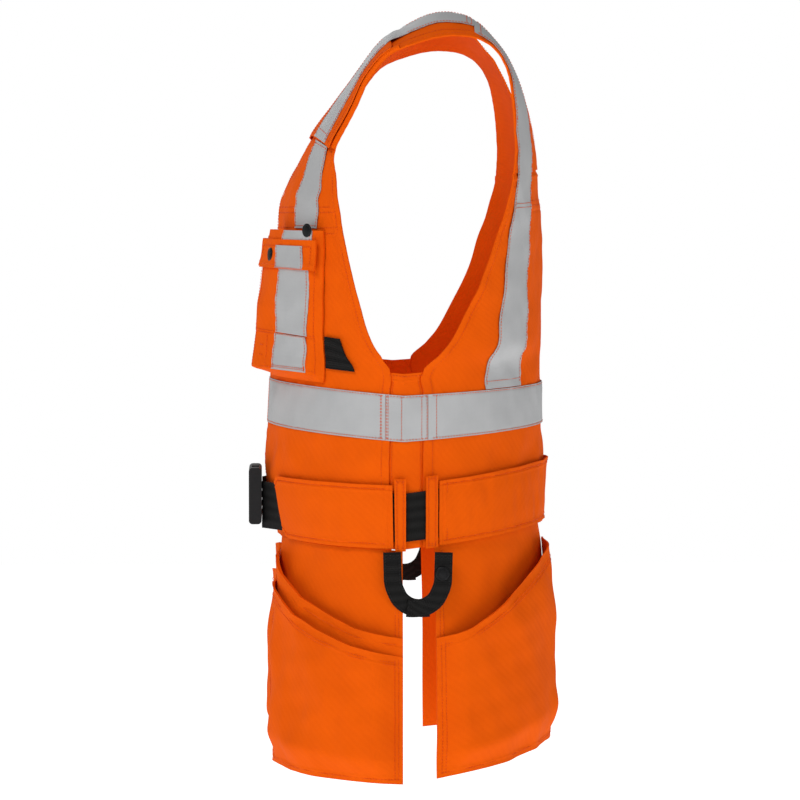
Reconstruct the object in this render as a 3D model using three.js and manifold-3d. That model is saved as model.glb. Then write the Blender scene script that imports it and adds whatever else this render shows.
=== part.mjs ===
// A hi-vis tool vest: cloth panels, reflective tape, chest pockets with flaps, a zip front,
// a buckled waist belt in tunnels, four hanging holsters and two hammer loops.
// Millimetres. +Z is up, the wearer faces -Y and the wearer's left is +X.
// The origin is halfway between the undersides of the two shoulder straps, at their top.
import * as THREE from 'three';
import { mergeVertices } from 'three/addons/utils/BufferGeometryUtils.js';
import Module from 'manifold-3d';

const wasm = await Module();
wasm.setup();

// ---- Driving dimensions ----
const chestHalfWidth = 190; // half the vest's width at the waist tape
const frontReach = 51; // from the side line to the middle of the vest, where the depth is measured
const neckHalfWidth = 88; // from the middle to the neck edge of a shoulder strap
const strapWidth = 78; // a shoulder strap, neck edge to armhole edge
const holsterLength = 249; // hem to holster bottom

const clothThickness = 1.5;
const layerGap = 0.8; // between two layers of cloth lying on each other
const seamGap = 0.35; // between two panels joined edge to edge
const tapeWidth = 50;
const tapeThickness = 0.7;
const webbingWidth = 50;
const webbingThickness = 1.8;
const zipHalfWidth = 6; // from the middle to a front panel's edge
const toothGap = 0.2; // from the middle to each half's coil
const zipTapeWidth = 13;
const sideSeamFront = 0.934; // share of the way round from the middle front to the side line
const sideSeamBack = 0.916;

const pocketTop = -206; // heights are measured at the middle line of the vest
const pocketBottom = -364;
const pocketInner = 50;
const pocketOuter = 153;
const pocketDepth = 11; // at the pocket's rear side
const pocketFrontDepth = 25; // at its front side
const flapTop = -216;
const flapBottom = -247;
const tapeInner = 100; // from the middle to the chest and back tapes' inner edge
const snapRadius = 7.5;
const snapHeight = 3;

const beltLoopWidth = 12;
const tunnelFrontEnd = 78; // from the middle to the front end of a belt tunnel
const buckleHeight = 62;
const buckleThickness = 14;
const buckleWall = 3;
const buckleClearance = 1;
const socketLength = 50;
const plugBodyLength = 30;
const prongLength = 34;
const prongWidth = 7;

const holsterInner = 50; // from the middle to a holster's inner edge
const holsterFlare = 12; // how far a holster's lower half stands out
const holsterDepth = 15; // the room inside a holster pocket
const loopStrapWidth = 22;
const loopStrapThickness = 2.4;
const loopDrop = 66;
const loopFrontEdge = -73;
const loopRearEdge = 1;

// ---- Finishes ----
const finish = (color, roughness, metalness = 0) =>
  new THREE.MeshStandardMaterial({ color, roughness, metalness });
const orangeCloth = finish(0xf26410, 0.85);
const silverTape = finish(0xacacac, 0.45);
const blackWebbing = finish(0x161616, 0.8);
const blackPlastic = finish(0x141414, 0.45);
const snapMetal = finish(0x2c2a2b, 0.35, 0.8);
const zipCloth = finish(0xd85a12, 0.85);

// ---- The vest's surface ----
// Each row crosses the vest from its neck or middle line to its armhole or side line.
// Rows run from the front hem, over the shoulder, to the back hem.
const neckEdge = neckHalfWidth;
const armEdge = neckHalfWidth + strapWidth;
const side = chestHalfWidth;
const line = -frontReach;
const zipLine = (height) => -181 + 0.0528 * (height + 188); // the zip runs straight down the front
const rows = [
  // x, y, z of the inner end; x, y, z of the outer end; degrees turned between them
  [0, -183, -541, side - 2, line, -545, 90], // hem
  [0, zipLine(-472), -472, side - 1, line, -476, 90], // top of the belt
  [0, zipLine(-418), -418, side, line, -430, 90], // lower edge of the waist tape
  [0, zipLine(-369), -369, side, line, -381, 90], // upper edge of the waist tape
  [0, zipLine(-345), -345, side, line, -358, 90], // underarm
  [0, zipLine(-328), -328, side - 2, -72, -342, 82],
  [0, zipLine(-305), -305, side - 6, -87, -318, 76],
  [0, zipLine(-266), -266, side - 12, -101, -272, 70],
  [0, zipLine(-226), -226, side - 18, -110.5, -228, 65],
  [0, zipLine(-188), -188, side - 22, -116.5, -188, 61], // point of the neck
  [15, -176.5, -168, side - 25, -119.5, -171, 55],
  [36, -164, -145, armEdge - 4, -121.5, -150, 49],
  [62, -144, -106, armEdge - 8, -122, -122, 42], // start of the shoulder strap
  [78, -114.5, -66, armEdge - 6, -103.5, -85, 38],
  [neckEdge - 4, -90, -34, armEdge - 3, -85.5, -46, 36],
  [neckEdge - 2, -64, -2, armEdge - 1, -63.5, -20, 35],
  [neckEdge - 1, -34, 19, armEdge, -33.5, -7, 35],
  [neckEdge, -3, 27, armEdge, -5.5, -1, 35], // top of the shoulder
  [neckEdge, 25, 20, armEdge, 24.5, -3, 35],
  [neckEdge - 1, 47, -1, armEdge - 1, 44.5, -14, 36],
  [neckEdge - 4, 65, -26, armEdge - 2, 57.5, -34, 38],
  [78, 79.5, -58, armEdge - 4, 64.5, -66, 42],
  [58, 90, -92, armEdge - 6, 67.5, -98, 48],
  [25, 97, -122, armEdge - 4, 68.5, -128, 55],
  [0, 101, -140, armEdge - 1, 66.5, -146, 60], // back of the neck
  [0, 103, -172, side - 22, 60.5, -176, 62],
  [0, 105, -208, side - 18, 49.5, -210, 65],
  [0, 106, -246, side - 12, 36, -250, 70],
  [0, 107, -290, side - 7, 15, -295, 76],
  [0, 107, -323, side - 2, -9, -333, 84],
  [0, 107, -345, side, line, -358, 90], // underarm
  [0, 107, -373, side, line, -381, 90], // upper edge of the waist tape
  [0, 106.5, -418, side, line, -430, 90], // lower edge of the waist tape
  [0, 106, -457, side - 1, line, -476, 90], // top of the belt
  [0, 105, -525, side - 2, line, -545, 90], // hem
];
const lastRow = rows.length - 1;
const underarm = 4;
const neckPoint = 9;
const strapStart = 12;
const shoulderTop = 17;
const backNeck = 24;
const backUnderarm = lastRow - underarm;

// A row at any place between the listed ones, on a smooth curve through them.
function rowAt(place) {
  const index = Math.min(Math.max(Math.floor(place), 0), lastRow - 1);
  const t = place - index;
  const before = rows[Math.max(index - 1, 0)];
  const from = rows[index];
  const to = rows[index + 1];
  const after = rows[Math.min(index + 2, lastRow)];
  return from.map((a, i) => {
    const b = to[i];
    const startSlope = (b - before[i]) / (index > 0 ? 2 : 1);
    const endSlope = (after[i] - a) / (index < lastRow - 1 ? 2 : 1);
    const t2 = t * t;
    const t3 = t2 * t;
    return (2 * t3 - 3 * t2 + 1) * a + (t3 - 2 * t2 + t) * startSlope
      + (3 * t2 - 2 * t3) * b + (t3 - t2) * endSlope;
  });
}

// The bare surface: q is 0 on the inner line and 1 on the outer one.
function bareSurface(place, q) {
  const [xIn, yIn, zIn, xOut, yOut, zOut, turned] = rowAt(place);
  const turn = THREE.MathUtils.degToRad(turned);
  const across = Math.sin(turn * q) / Math.sin(turn);
  const back = (1 - Math.cos(turn * q)) / (1 - Math.cos(turn));
  return new THREE.Vector3(
    xIn + (xOut - xIn) * across, yIn + (yOut - yIn) * back, zIn + (zOut - zIn) * back);
}

// Outward direction of a surface given as point(a, b), pointing away from the wearer's middle.
function outward(point, a, b, stepA, stepB) {
  const alongA = point(a + stepA, b).sub(point(a - stepA, b));
  const alongB = point(a, b + stepB).sub(point(a, b - stepB));
  const normal = alongA.cross(alongB).normalize();
  const here = point(a, b);
  const fromMiddle = new THREE.Vector3(here.x, here.y + frontReach, here.z > -60 ? here.z + 90 : 0);
  return normal.dot(fromMiddle) < 0 ? normal.negate() : normal;
}

const insideRows = (place) => Math.min(Math.max(place, 0.02), lastRow - 0.02);

function onVest(place, q, lift) {
  const normal = outward(bareSurface, insideRows(place), q, 0.01, 0.004);
  return bareSurface(place, q).addScaledVector(normal, lift);
}

// The place between rows where the middle line has a height, in front or behind.
function frontPlace(height) {
  let low = 0;
  let high = shoulderTop;
  for (let i = 0; i < 40; i += 1) {
    const middle = (low + high) / 2;
    if (rowAt(middle)[2] < height) low = middle;
    else high = middle;
  }
  return low;
}

// The q at a distance from the vest's middle plane.
function qAtX(place, x) {
  const [xIn, , , xOut, , , turned] = rowAt(place);
  const turn = THREE.MathUtils.degToRad(turned);
  const share = THREE.MathUtils.clamp((x - xIn) / (xOut - xIn), 0, 1);
  return Math.asin(share * Math.sin(turn)) / turn;
}

// Round the waist: t is -1 at the middle front, 0 on the side line and 1 at the middle back.
function roundWaist(height, t, lift) {
  return t < 0 ? onVest(height, 1 + t, lift) : onVest(lastRow - height, 1 - t, lift);
}

// Below the hem: v is 0 at the hem and 1 at the bottom of the holsters.
function bareSkirt(v, t) {
  const hem = roundWaist(0, t, 0);
  const flare = holsterFlare * Math.sin(Math.min(v * 1.35, 1.3)) / Math.sin(1.3);
  const out = new THREE.Vector3(hem.x, hem.y + frontReach, 0).normalize();
  const length = t < 0 ? holsterLength : holsterLength - 10 * t;
  return new THREE.Vector3(hem.x + out.x * flare, hem.y + out.y * flare, hem.z - v * length);
}

function onSkirt(v, t, lift) {
  return bareSkirt(v, t).addScaledVector(outward(bareSkirt, v, t, 0.01, 0.01), lift);
}

// ---- Solid builders ----
function closed(geometry) {
  geometry.deleteAttribute('normal');
  geometry.deleteAttribute('uv');
  const solid = mergeVertices(geometry, 1e-4);
  const p = solid.attributes.position;
  const index = solid.index;
  const corner = [0, 1, 2].map(() => new THREE.Vector3());
  let volume = 0;
  for (let i = 0; i < index.count; i += 3) {
    corner.forEach((v, k) => v.fromBufferAttribute(p, index.getX(i + k)));
    volume += corner[0].dot(corner[1].cross(corner[2]));
  }
  if (volume < 0) {
    for (let i = 0; i < index.count; i += 3) {
      const second = index.getX(i + 1);
      index.setX(i + 1, index.getX(i + 2));
      index.setX(i + 2, second);
    }
  }
  return solid;
}

// A layer of cloth: map(u, v, lift) gives its points; low and high are its two faces' lifts.
function layer(map, across, along, low, high) {
  const geometry = new THREE.BoxGeometry(1, 1, 1, across, along, 1);
  const p = geometry.attributes.position;
  for (let i = 0; i < p.count; i += 1) {
    const u = p.getX(i) + 0.5;
    const v = p.getY(i) + 0.5;
    const face = p.getZ(i) > 0 ? high : low;
    const lift = typeof face === 'function' ? face(u, v) : face;
    const point = map(u, v, lift);
    p.setXYZ(i, point.x, point.y, point.z);
  }
  return closed(geometry);
}

function mirrored(geometry) {
  const copy = geometry.clone();
  copy.scale(-1, 1, 1);
  return closed(copy);
}

const blend = THREE.MathUtils.lerp;

// A patch of the vest between two places and two edges, each edge a function of the place.
function patch(from, to, inner, outer, across, along, low, high) {
  const map = (u, v, lift) => {
    const place = blend(from, to, v);
    return onVest(place, blend(inner(place), outer(place), u), lift);
  };
  return layer(map, across, along, low, high);
}

function toManifold(geometry) {
  const solid = closed(geometry.clone());
  return new wasm.Manifold(new wasm.Mesh({
    numProp: 3,
    vertProperties: new Float32Array(solid.attributes.position.array),
    triVerts: new Uint32Array(solid.index.array),
  }));
}

function fromManifold(solid) {
  const mesh = solid.getMesh();
  const geometry = new THREE.BufferGeometry();
  geometry.setAttribute('position', new THREE.BufferAttribute(mesh.vertProperties, 3));
  geometry.setIndex(new THREE.BufferAttribute(mesh.triVerts, 1));
  return geometry;
}

// A box with its four edges along X rounded, given by its corners.
function roundedBar(low, high, radius, bevelSegments = 3) {
  const shape = new THREE.Shape();
  const [y0, z0, y1, z1] = [low[1], low[2], high[1], high[2]];
  shape.moveTo(y0 + radius, z0);
  shape.lineTo(y1 - radius, z0);
  shape.absarc(y1 - radius, z0 + radius, radius, -Math.PI / 2, 0, false);
  shape.lineTo(y1, z1 - radius);
  shape.absarc(y1 - radius, z1 - radius, radius, 0, Math.PI / 2, false);
  shape.lineTo(y0 + radius, z1);
  shape.absarc(y0 + radius, z1 - radius, radius, Math.PI / 2, Math.PI, false);
  shape.lineTo(y0, z0 + radius);
  shape.absarc(y0 + radius, z0 + radius, radius, Math.PI, Math.PI * 1.5, false);
  const geometry = new THREE.ExtrudeGeometry(shape, {
    depth: high[0] - low[0], bevelEnabled: false, curveSegments: bevelSegments });
  const place = new THREE.Matrix4().makeBasis(
    new THREE.Vector3(0, 1, 0), new THREE.Vector3(0, 0, 1), new THREE.Vector3(1, 0, 0));
  geometry.applyMatrix4(place);
  geometry.translate(low[0], 0, 0);
  return geometry;
}

function plainBar(low, high) {
  const geometry = new THREE.BoxGeometry(high[0] - low[0], high[1] - low[1], high[2] - low[2]);
  geometry.translate((low[0] + high[0]) / 2, (low[1] + high[1]) / 2, (low[2] + high[2]) / 2);
  return geometry;
}

// A press stud's cap: a shallow dome that stands on the cloth at a point, along a direction.
function snapCap(point, direction, radius, height) {
  const profile = [
    new THREE.Vector2(0, 0),
    new THREE.Vector2(radius, 0),
    new THREE.Vector2(radius, height * 0.45),
    new THREE.Vector2(radius * 0.72, height * 0.9),
    new THREE.Vector2(0, height),
  ];
  const geometry = new THREE.LatheGeometry(profile, 12);
  const turn = new THREE.Quaternion().setFromUnitVectors(new THREE.Vector3(0, 1, 0), direction);
  geometry.applyQuaternion(turn);
  geometry.translate(point.x, point.y, point.z);
  return closed(geometry);
}

// ---- Assembly ----
const vest = new THREE.Group();

function add(name, geometry, material) {
  const mesh = new THREE.Mesh(geometry, material);
  mesh.name = name;
  vest.add(mesh);
}

function addPair(name, geometry, material) {
  add(`${name}_left`, geometry, material);
  add(`${name}_right`, mirrored(geometry), material);
}

const onCloth = clothThickness + layerGap; // where a layer on top of a panel starts
const joint = 0.012; // the seam gap as a share of a row
const onSeam = seamGap / 270; // the seam gap as a share of the way round

// Panels
const armholeFront = (place) => THREE.MathUtils.clamp(
  blend(sideSeamFront, 1, (place - underarm) / 0.6), sideSeamFront, 1);
const armholeBack = (place) => THREE.MathUtils.clamp(
  blend(sideSeamBack, 1, (backUnderarm - place) / 0.5), sideSeamBack, 1);
const zipEdge = (place) => qAtX(place, zipHalfWidth);
const innerLine = () => 0;
const outerLine = () => 1;

function addPanels() {
  addPair('front_panel', patch(
    0, strapStart - joint, zipEdge, armholeFront, 8, 12, 0, clothThickness), orangeCloth);
  const backMap = (u, v, lift) => {
    const place = blend(backNeck + joint * 2, lastRow, v);
    const q = armholeBack(place) * (2 * u - 1);
    const point = onVest(place, Math.abs(q), lift);
    point.x *= Math.sign(q);
    return point;
  };
  add('back_panel', layer(backMap, 16, 10, 0, clothThickness), orangeCloth);
  const sideMap = (u, v, lift) => {
    const t = blend(sideSeamFront - 1 + onSeam, 1 - sideSeamBack - onSeam, u);
    return roundWaist(blend(0, underarm, v), t, lift);
  };
  addPair('side_panel', layer(sideMap, 2, 4, 0, clothThickness), orangeCloth);
  const yokeInner = (place) => qAtX(place, seamGap);
  addPair('yoke', patch(
    strapStart, backNeck - joint, yokeInner, outerLine, 5, 24, 0, clothThickness), orangeCloth);
}

// The adjustable strap end laid over the front of each shoulder, folded back at its top.
const overlayStart = strapStart + joint;
const overlayEnd = shoulderTop - 2;
const overlayThickness = 2.2;
function addStrapEnds() {
  const inner = () => 0.02;
  const outer = () => 0.95;
  addPair('strap_end', patch(
    overlayStart, overlayEnd, inner, outer, 5, 6, onCloth, onCloth + overlayThickness), orangeCloth);
}

// Reflective tape
const tapeEdge = (offset) => (place) => qAtX(place, tapeInner + offset);
function upright(from, to, lift, along, width = 42, shift = 0) {
  return patch(from, to, tapeEdge(shift), tapeEdge(shift + width), 3, along, lift, lift + tapeThickness);
}

const shoulderJoint = shoulderTop + 1;
function addTapes() {
  const band = (fromTurn, toTurn, count) => layer(
    (u, v, lift) => roundWaist(blend(2, 3, v), blend(fromTurn, toTurn, u), lift),
    count, 1, onCloth, onCloth + tapeThickness);
  const frontStart = -qAtX(3, zipHalfWidth + 2);
  addPair('waist_tape_front', band(-1 - frontStart, sideSeamFront - 1.02, 10), silverTape);
  addPair('waist_tape_side', band(sideSeamFront - 1.018, 1 - sideSeamBack + 0.018, 2), silverTape);
  const backBand = (u, v, lift) => {
    const turn = blend(-(sideSeamBack - 0.02), sideSeamBack - 0.02, u);
    const point = onVest(blend(lastRow - 2, lastRow - 3, v), Math.abs(turn), lift);
    point.x *= Math.sign(turn);
    return point;
  };
  add('waist_tape_back', layer(backBand, 20, 1, onCloth, onCloth + tapeThickness), silverTape);
  addPair('back_tape', upright(
    shoulderJoint + joint, lastRow - 3 - joint * 2, onCloth, 28, tapeWidth, -1), silverTape);
  // the shoulder tape lies on the strap end and steps down past its fold
  const step = overlayThickness + layerGap;
  const stepEnd = (overlayEnd + 0.4 - overlayStart) / (shoulderJoint - overlayStart);
  const low = (u, v) => onCloth + (v < stepEnd ? step : 0);
  const shoulder = (u, v, lift) => {
    const place = blend(overlayStart, shoulderJoint, v);
    return onVest(place, qAtX(place, blend(tapeInner + 2, tapeInner + 42, u)), lift);
  };
  addPair('shoulder_tape', layer(
    shoulder, 3, 12, low, (u, v) => low(u, v) + tapeThickness), silverTape);
  addPair('chest_tape', upright(
    frontPlace(pocketTop) + 0.06, overlayStart - 0.03, onCloth, 4, 43, 1), silverTape);
}

// Chest pockets: a front wall that stands off the panel and turns in at its sides and bottom.
const pocketLow = frontPlace(pocketBottom);
const pocketHigh = frontPlace(pocketTop);
const pocketSpan = (map) => (u, v, lift) => {
  const place = blend(pocketLow, pocketHigh, v);
  return onVest(place, qAtX(place, blend(pocketInner, pocketOuter, u)), map(u, v, lift));
};
function pocketLift(u, v) {
  const sides = Math.min(u, 1 - u) * 9;
  const bottom = v * 9;
  const depth = blend(pocketFrontDepth, pocketDepth, u) * (1 - 0.45 * v);
  return onCloth + depth * Math.min(1, sides, bottom);
}
const plainLift = (u, v, lift) => lift;
function addChestPockets() {
  const wall = layer(pocketSpan(plainLift), 9, 9, pocketLift, (u, v) => pocketLift(u, v) + clothThickness);
  addPair('chest_pocket', wall, orangeCloth);
  const tapeStart = (tapeInner + 1 - pocketInner) / (pocketOuter - pocketInner);
  const tapeEnd = tapeStart + 41 / (pocketOuter - pocketInner);
  const flapFoot = (frontPlace(flapBottom) - pocketLow) / (pocketHigh - pocketLow);
  const tapeMap = (u, v, lift) => pocketSpan((a, b) => pocketLift(a, b) + lift)(
    blend(tapeStart, tapeEnd, u), blend(0.13, flapFoot - 0.02, v), 0);
  const low = clothThickness + layerGap;
  addPair('pocket_tape', layer(tapeMap, 2, 6, low, low + tapeThickness), silverTape);
}

// Flaps: each hangs from a straight line across the pocket's top.
const flapLift = onCloth + clothThickness + layerGap;
function flapPoint(u, v, lift) {
  const place = blend(frontPlace(flapBottom), frontPlace(flapTop), v);
  const share = (place - pocketLow) / (pocketHigh - pocketLow);
  const over = lift + blend(pocketFrontDepth, pocketDepth, u) * (1.04 - 0.45 * share);
  return onVest(place, qAtX(place, blend(pocketInner - 2, pocketOuter - 2, u)), over);
}
function addFlaps() {
  const flap = layer(flapPoint, 7, 2, flapLift, flapLift + clothThickness);
  addPair('chest_flap', flap, orangeCloth);
  const stud = (surface, u, v, name) => {
    const direction = outward(surface, u, v, 0.02, 0.02);
    const foot = surface(u, v).addScaledVector(direction, 0.6);
    addPair(name, snapCap(foot, direction, snapRadius, snapHeight), snapMetal);
  };
  stud((u, v) => flapPoint(u, v, flapLift + clothThickness), 0.3, 0.45, 'flap_snap');
  const wallFace = (u, v) => pocketSpan(
    (a, b) => pocketLift(a, b) + clothThickness)(u, Math.min(v, 1), 0);
  stud(wallFace, 0.87, 1, 'pocket_snap');
}

// Webbing tabs that stick out behind the chest pockets.
function addTabs() {
  const tab = (reach, topReach) => layer((u, v, lift) => {
    const place = blend(frontPlace(-348), frontPlace(-312), v);
    const start = qAtX(place, pocketOuter + 1.5);
    return onVest(place, start + u * blend(reach, topReach, v), lift);
  }, 4, 3, onCloth, onCloth + webbingThickness);
  add('pocket_tab_left', tab(0.16, 0.1), blackWebbing);
  add('pocket_tab_right', mirrored(tab(0.2, 0.2)), blackWebbing);
}

// The front zip: its straight part runs from the point of the neck to the top of the belt.
const zipTop = neckPoint - 0.15;
const zipBottom = 0.1;
const zipDepth = -0.9; // the zip tape lies behind the panels' edges
const coilHeight = 1.3;
function addZip() {
  const coilEdge = (place) => qAtX(place, toothGap);
  const tapeEnd = (place) => qAtX(place, zipTapeWidth);
  const map = (u, v, lift) => {
    const place = THREE.MathUtils.clamp(v * neckPoint, zipBottom, zipTop);
    return onVest(place, blend(coilEdge(place), tapeEnd(place), u), lift);
  };
  // the half nearest the middle is the raised coil that the slider runs on
  const front = (u) => (u < 0.2 ? zipDepth + coilHeight : zipDepth);
  addPair('zip_half', layer(map, 6, neckPoint, zipDepth - 0.8, front), zipCloth);
}

// The slider rides in front of the coils and carries the pull on a small bridge.
const sliderHeight = 16;
const sliderHalfWidth = 4.6;
const sliderFront = 5.5; // from the zip line to the slider's front
const sliderBack = 1.3;
const pullLength = 34;
const sliderPlace = 7.7; // the slider is parked a little below the top of the zip
function addSlider() {
  const at = bareSurface(sliderPlace, 0);
  const z = at.z - sliderHeight / 2;
  const front = at.y - sliderFront;
  const bar = (half, yFront, yBack, low, high) => toManifold(
    plainBar([-half, front + yFront, z + low], [half, front + yBack, z + high]));
  const body = toManifold(roundedBar(
    [-sliderHalfWidth, front + 1.9, z], [sliderHalfWidth, at.y - sliderBack, z + sliderHeight], 0.9));
  const bridge = bar(1.6, -2.6, 2.4, 3, sliderHeight - 2);
  const slot = bar(3, -1, 1.9, 5.2, sliderHeight - 3.6);
  add('zip_slider', fromManifold(body.add(bridge).subtract(slot)), snapMetal);
  const pullTop = 9.6;
  const plate = bar(5, -0.3, 1.2, pullTop - pullLength, pullTop);
  const eye = bar(2.2, -2, 3, pullTop - 9, pullTop - 1.8);
  add('zip_pull', fromManifold(plate.subtract(eye)), snapMetal);
}

// Belt: webbing in a back tunnel and two front tunnels, under four loops at the sides.
const webbingLift = onCloth;
const tunnelLift = webbingLift + webbingThickness + layerGap;
const webbingLow = 0.12; // the webbing's lower edge as a share of the belt's height
const webbingHigh = 0.85;
const buckleBack = -202;
const buckleMiddle = -498;
function tunnel(fromTurn, toTurn, count) {
  const map = (u, v, lift) => roundWaist(blend(0.02, 1, v), blend(fromTurn, toTurn, u), lift);
  return layer(map, count, 3, tunnelLift, tunnelLift + clothThickness);
}
function addBelt() {
  const start = qAtX(0.5, tunnelFrontEnd) - 1;
  addPair('belt_tunnel_front', tunnel(start, -0.05, 9), orangeCloth);
  const backMap = (u, v, lift) => {
    const q = blend(-0.85, 0.85, u);
    const point = onVest(blend(lastRow, lastRow - 1, v), Math.abs(q), lift);
    point.x *= Math.sign(q);
    return point;
  };
  add('belt_tunnel_back', layer(backMap, 18, 3, tunnelLift, tunnelLift + clothThickness), orangeCloth);
  const tail = 0.1;
  const strap = (u, v, lift) => {
    const run = Math.abs(2 * u - 1);
    const hand = u < 0.5 ? -1 : 1;
    const height = blend(webbingLow, webbingHigh, v);
    const free = (run - (1 - tail)) / tail;
    const turn = 1 - Math.min(run, 1 - tail) / (1 - tail) * (2 - (start + 1));
    const point = roundWaist(height, turn, lift);
    if (free > 0) {
      const end = new THREE.Vector3(38, buckleBack + webbingThickness + webbingLift - lift, point.z);
      point.lerp(end, free);
    }
    point.x *= hand;
    return point;
  };
  add('belt_webbing', layer(strap, 44, 1, webbingLift, webbingLift + webbingThickness), blackWebbing);
  const loop = (turn) => {
    const half = beltLoopWidth / 2 / 240;
    const map = (u, v, lift) => roundWaist(blend(-0.02, 1.12, v), blend(turn - half, turn + half, u), lift);
    return layer(map, 1, 4, tunnelLift, tunnelLift + 2);
  };
  addPair('belt_loop_front', loop(-0.016), orangeCloth);
  addPair('belt_loop_rear', loop(0.118), orangeCloth);
}

// Side-release buckle: a socket on the wearer's left, a plug with two prongs on the right.
function addBuckle() {
  const y0 = buckleBack - seamGap - buckleThickness;
  const y1 = buckleBack - seamGap;
  const half = buckleHeight / 2;
  const z = buckleMiddle;
  const box = (x0, x1, ya, yb, za, zb) => toManifold(plainBar([x0, ya, z + za], [x1, yb, z + zb]));
  const shell = toManifold(roundedBar([0, y0, z - half], [socketLength, y1, z + half], 4));
  const roomHalf = half - 6;
  const cavity = box(-1, 38, y0 + buckleWall, y1 - buckleWall, -roomHalf, roomHalf);
  const windows = box(10, 30, y0 + buckleWall, y1 - buckleWall, -half - 1, half + 1);
  const slot = box(41, 46, y0 - 1, y1 + 1, -webbingWidth / 2 - 1, webbingWidth / 2 + 1);
  add('buckle_socket', fromManifold(shell.subtract(cavity).subtract(windows).subtract(slot)), blackPlastic);
  const room = buckleThickness - 2 * (buckleWall + buckleClearance);
  const t0 = y0 + buckleWall + buckleClearance;
  const body = toManifold(roundedBar([-plugBodyLength, y0, z - half], [-0.4, y1, z + half], 4));
  const tongue = box(-1, 32, t0, t0 + room, -8, 8);
  const bars = box(-24, -18, y0 - 1, y1 + 1, -webbingWidth / 2 - 1, webbingWidth / 2 + 1);
  const root = box(-3.3, 2, y0 - 1, y1 + 1, roomHalf - prongWidth - 3, roomHalf + 1);
  const rootLow = box(-3.3, 2, y0 - 1, y1 + 1, -roomHalf - 1, -roomHalf + prongWidth + 3);
  add('buckle_plug', fromManifold(body.add(tongue).subtract(bars).subtract(root).subtract(rootLow)), blackPlastic);
  const prong = (hand) => {
    const outer = roomHalf - buckleClearance;
    const inner = outer - prongWidth;
    const [a, b] = hand > 0 ? [inner, outer] : [-outer, -inner];
    return fromManifold(box(-2.6, prongLength - 2.6, t0, t0 + room, a, b));
  };
  add('buckle_prong_upper', prong(1), blackPlastic);
  add('buckle_prong_lower', prong(-1), blackPlastic);
}

// Holsters: a backing that hangs from the hem and a pocket on its outer face.
const frontHolster = { from: qAtX(0.3, holsterInner) - 1, to: -0.004, mouth: [0.1, 0.3] };
const backHolster = { from: 0.135, to: 1 - qAtX(0.3, holsterInner - 8), mouth: [0.3, 0.1] };
const holsterTop = 0.0035;
function holsterBacking({ from, to }) {
  const map = (u, v, lift) => onSkirt(blend(1, holsterTop, v), blend(from, to, u), lift);
  return layer(map, 9, 6, 0, clothThickness);
}
function holsterPocket({ from, to, mouth }) {
  const lift = (u, v) => {
    const sides = Math.min(u, 1 - u) * 7;
    const bottom = v * 6;
    return onCloth + holsterDepth * Math.min(1, sides, bottom) * blend(1, 0.75, v);
  };
  const map = (u, v, height) => {
    const top = blend(mouth[0], mouth[1], u);
    return onSkirt(blend(0.995, top, v), blend(from, to, u), height);
  };
  return layer(map, 10, 7, lift, (u, v) => lift(u, v) + clothThickness);
}
function addHolsters() {
  addPair('holster_front', holsterBacking(frontHolster), orangeCloth);
  addPair('holster_back', holsterBacking(backHolster), orangeCloth);
  addPair('holster_pocket_front', holsterPocket(frontHolster), orangeCloth);
  addPair('holster_pocket_back', holsterPocket(backHolster), orangeCloth);
}

// Hammer loops: a strap in a U below the side of the belt, with two press studs.
const loopX = side + 5.4;
function addHammerLoops() {
  const hem = -545 - seamGap;
  const middle = (loopFrontEdge + loopRearEdge) / 2;
  const reach = (loopRearEdge - loopFrontEdge) / 2;
  const shape = new THREE.Shape();
  const corner = 30;
  shape.moveTo(-reach, 0);
  shape.lineTo(-reach, -loopDrop + corner);
  shape.quadraticCurveTo(-reach, -loopDrop, -reach + corner, -loopDrop);
  shape.lineTo(reach - corner, -loopDrop);
  shape.quadraticCurveTo(reach, -loopDrop, reach, -loopDrop + corner);
  shape.lineTo(reach, 0);
  const innerReach = reach - loopStrapWidth;
  shape.lineTo(innerReach, 0);
  shape.lineTo(innerReach, -loopDrop + corner);
  shape.quadraticCurveTo(innerReach, -loopDrop + loopStrapWidth, innerReach - 5, -loopDrop + loopStrapWidth);
  shape.lineTo(-innerReach + 5, -loopDrop + loopStrapWidth);
  shape.quadraticCurveTo(-innerReach, -loopDrop + loopStrapWidth, -innerReach, -loopDrop + corner);
  shape.lineTo(-innerReach, 0);
  const strap = new THREE.ExtrudeGeometry(shape, {
    depth: loopStrapThickness, bevelEnabled: false, curveSegments: 4 });
  strap.applyMatrix4(new THREE.Matrix4().makeBasis(
    new THREE.Vector3(0, 1, 0), new THREE.Vector3(0, 0, 1), new THREE.Vector3(1, 0, 0)));
  strap.translate(loopX, middle, hem);
  addPair('hammer_loop', closed(strap), blackWebbing);
  const outer = loopX + loopStrapThickness + 0.3;
  const stud = new THREE.Vector3(outer, loopRearEdge - loopStrapWidth / 2, hem - 24);
  addPair('loop_snap', snapCap(stud, new THREE.Vector3(1, 0, 0), snapRadius, snapHeight), snapMetal);
}

addPanels();
addStrapEnds();
addTapes();
addChestPockets();
addFlaps();
addTabs();
addZip();
addSlider();
addBelt();
addBuckle();
addHolsters();
addHammerLoops();

export default vest;
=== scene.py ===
import math

import bpy
import numpy as np
from mathutils import Matrix, Vector


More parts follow.
